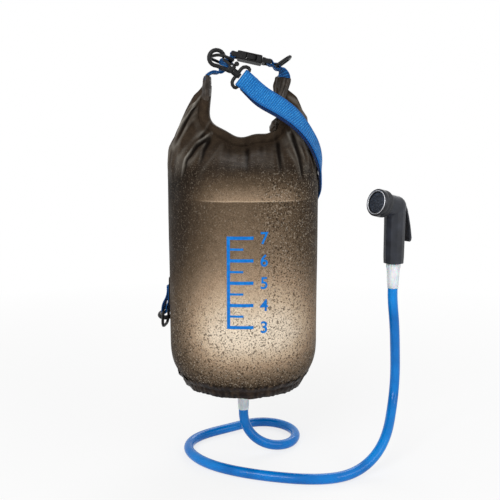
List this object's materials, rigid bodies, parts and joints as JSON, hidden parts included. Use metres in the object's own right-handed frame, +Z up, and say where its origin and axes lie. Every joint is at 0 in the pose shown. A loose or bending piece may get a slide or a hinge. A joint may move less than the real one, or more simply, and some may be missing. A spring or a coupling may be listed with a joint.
{
  "type": "camp shower bag",
  "caption": "Hanging water bag for camp showers: roll-top fabric body with side-release buckle and shoulder strap, bottom outlet, flexible hose and thumb-lever spray handset.",
  "frame": {"origin": "on the underside of the buckle's female half, in the middle of its length and width, where a branch or a hook carries the bag", "axes": "+Z up with the bag hanging; the printed scale and the handset's spray face point to -Y (front); +X to the right as seen from the front, towards the handset"},
  "size_m": [0.3654, 0.2167, 0.577],
  "materials": {
    "coated_fabric": "satin translucent coated fabric",
    "skirt_fabric": "satin welded hem",
    "blue_webbing": "woven webbing",
    "black_plastic": "fine satin",
    "charcoal_plastic": "satin gloss",
    "clear_white_plastic": "milky translucent",
    "blue_hose": "glossy flexible tube",
    "bright_metal": "bright",
    "black_rubber": "matt"
  },
  "bodies": {
    "bag": {"bag_body": "coated_fabric", "closure_roll": "coated_fabric", "base_panel": "skirt_fabric", "base_skirt": "skirt_fabric", "outlet_spigot": "clear_white_plastic", "outlet_washer": "black_rubber", "outlet_screen": "bright_metal", "outlet_locknut": "clear_white_plastic", "left_webbing": "blue_webbing", "right_webbing": "blue_webbing", "left_d_ring": "black_plastic", "buckle_female": "black_plastic", "buckle_male": "black_plastic", "shoulder_strap": "blue_webbing", "strap_slider": "black_plastic", "side_patch": "coated_fabric", "side_tab": "blue_webbing", "side_d_ring": "black_plastic", "upper_swivel_eye": "black_plastic", "lower_swivel_eye": "black_plastic", "hose": "blue_hose", "handset_body": "charcoal_plastic", "head_bezel": "charcoal_plastic", "face_trim_ring": "bright_metal", "spray_plate": "charcoal_plastic", "handset_inlet": "clear_white_plastic", "lever_pin": "bright_metal", "stem_seal": "black_rubber", "valve_spring": "bright_metal"},
    "outlet_nut": {"bag_hose_nut": "clear_white_plastic"},
    "handset_nut": {"handset_hose_nut": "clear_white_plastic"},
    "right_ring": {"right_d_ring": "black_plastic"},
    "upper_hook": {"upper_hook_body": "black_plastic", "upper_hook_pin": "bright_metal"},
    "upper_gate": {"upper_hook_gate": "black_plastic"},
    "lower_hook": {"lower_hook_body": "black_plastic", "lower_hook_pin": "bright_metal"},
    "lower_gate": {"lower_hook_gate": "black_plastic"},
    "prong_front": {"buckle_prong_front": "black_plastic"},
    "prong_rear": {"buckle_prong_rear": "black_plastic"},
    "lever": {"thumb_lever": "charcoal_plastic"},
    "stem": {"valve_stem": "bright_metal"}
  },
  "joints": [
    {"name": "outlet_nut_turn", "type": "hinge", "parent": "bag", "child": "outlet_nut", "pos_m": [0, 0, -0.478], "axis": [0, 0, 1], "continuous": true},
    {"name": "handset_nut_turn", "type": "hinge", "parent": "bag", "child": "handset_nut", "pos_m": [0.211, -0.012, -0.295], "axis": [0, 0, 1], "continuous": true},
    {"name": "right_ring_swing", "type": "hinge", "parent": "bag", "child": "right_ring", "pos_m": [0.0455, 0, -0.0075], "axis": [0, 1, 0], "range_deg": [-25, 25]},
    {"name": "upper_hook_swivel", "type": "hinge", "parent": "bag", "child": "upper_hook", "pos_m": [-0.0093, -0.016, -0.0182], "axis": [-0.788, 0, 0.6157], "range_deg": [-5, 10]},
    {"name": "upper_gate_hinge", "type": "hinge", "parent": "upper_hook", "child": "upper_gate", "pos_m": [-0.01459, -0.016, -0.00873], "axis": [0, -1, 0], "range_deg": [0, 18], "stiffness_Nm_per_rad": 0.05, "springref_deg": -8.59},
    {"name": "lower_hook_swivel", "type": "hinge", "parent": "bag", "child": "lower_hook", "pos_m": [-0.09534, 0.05822, -0.35226], "axis": [-0.5774, -0.7702, -0.2709], "range_deg": [-12, 12]},
    {"name": "lower_gate_hinge", "type": "hinge", "parent": "lower_hook", "child": "lower_gate", "pos_m": [-0.10452, 0.05293, -0.35456], "axis": [-0.0795, -0.2772, 0.9575], "range_deg": [0, 25], "stiffness_Nm_per_rad": 0.05, "springref_deg": -8.59},
    {"name": "prong_rear_flex", "type": "hinge", "parent": "bag", "child": "prong_rear", "pos_m": [0.02482, 0.0105, 0.00035], "axis": [0.2079, 0, 0.9781], "range_deg": [0, 8], "stiffness_Nm_per_rad": 0.05, "springref_deg": -5.73},
    {"name": "prong_front_flex", "type": "hinge", "parent": "bag", "child": "prong_front", "pos_m": [0.02482, -0.0105, 0.00035], "axis": [0.2079, 0, 0.9781], "range_deg": [-8, 0], "stiffness_Nm_per_rad": 0.05, "springref_deg": 5.73},
    {"name": "lever_press", "type": "hinge", "parent": "bag", "child": "lever", "pos_m": [0.22148, -0.00519, -0.1973], "axis": [-0.5446, 0.8387, 0], "range_deg": [0, 10], "stiffness_Nm_per_rad": 1, "springref_deg": -5.73},
    {"name": "stem_push", "type": "slide", "parent": "bag", "child": "stem", "axis": [-0.8387, -0.5446, 0], "range_m": [0, 0.0029]}
  ],
  "couplings": [
    {"joint": "prong_front_flex", "follows": "prong_rear_flex", "ratio": -1},
    {"joint": "stem_push", "follows": "lever_press", "m_per_rad": 0.016}
  ]
}
